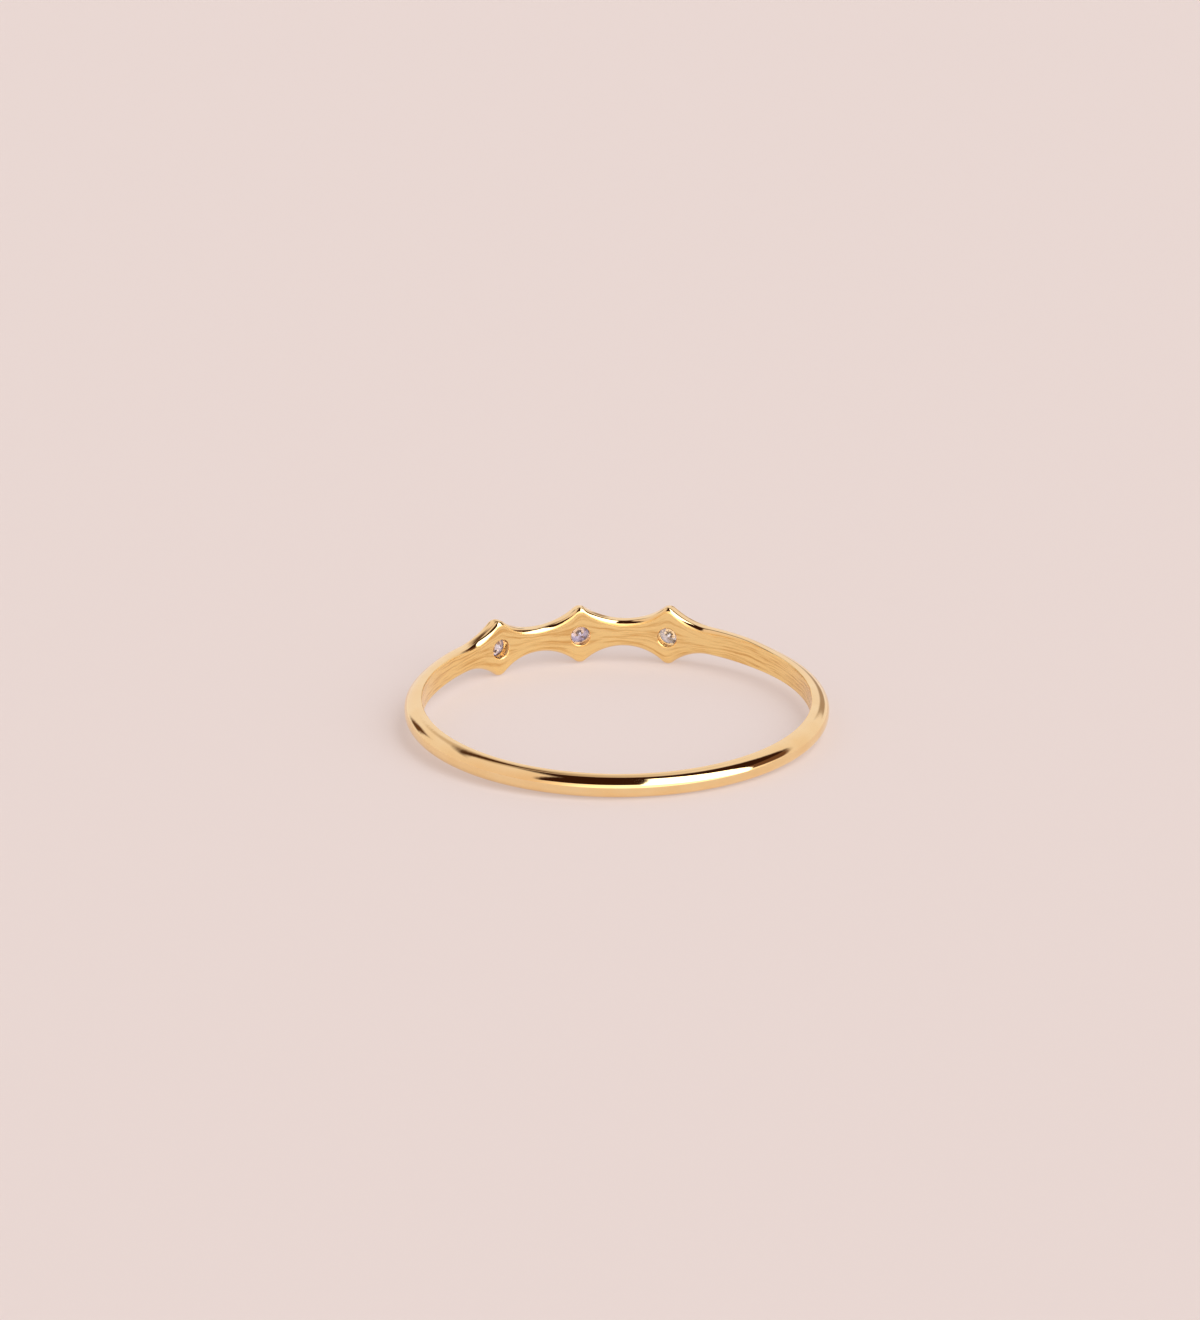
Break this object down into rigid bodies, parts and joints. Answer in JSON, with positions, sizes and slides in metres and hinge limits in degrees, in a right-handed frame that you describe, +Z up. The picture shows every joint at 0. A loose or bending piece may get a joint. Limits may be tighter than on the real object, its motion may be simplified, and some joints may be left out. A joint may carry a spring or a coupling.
{
  "type": "stackable ring",
  "caption": "Fine gold stacking ring with a rounded shank and a head of four-pointed stations, each with a small round faceted stone, lying on its side.",
  "frame": {"origin": "centre of the ring's box, on the surface that it lies on", "axes": "+Z up from that surface; -Y towards the head with the stones; +X to the right as seen from the front of the head"},
  "size_m": [0.0186, 0.0186, 0.0027],
  "materials": {
    "gold": "polished",
    "stone_pale": "faceted",
    "stone_blue": "faceted",
    "stone_lilac": "faceted"
  },
  "bodies": {
    "root": {"ring_band": "gold", "stone_left": "stone_pale", "stone_center": "stone_blue", "stone_right": "stone_lilac"}
  },
  "joints": []
}
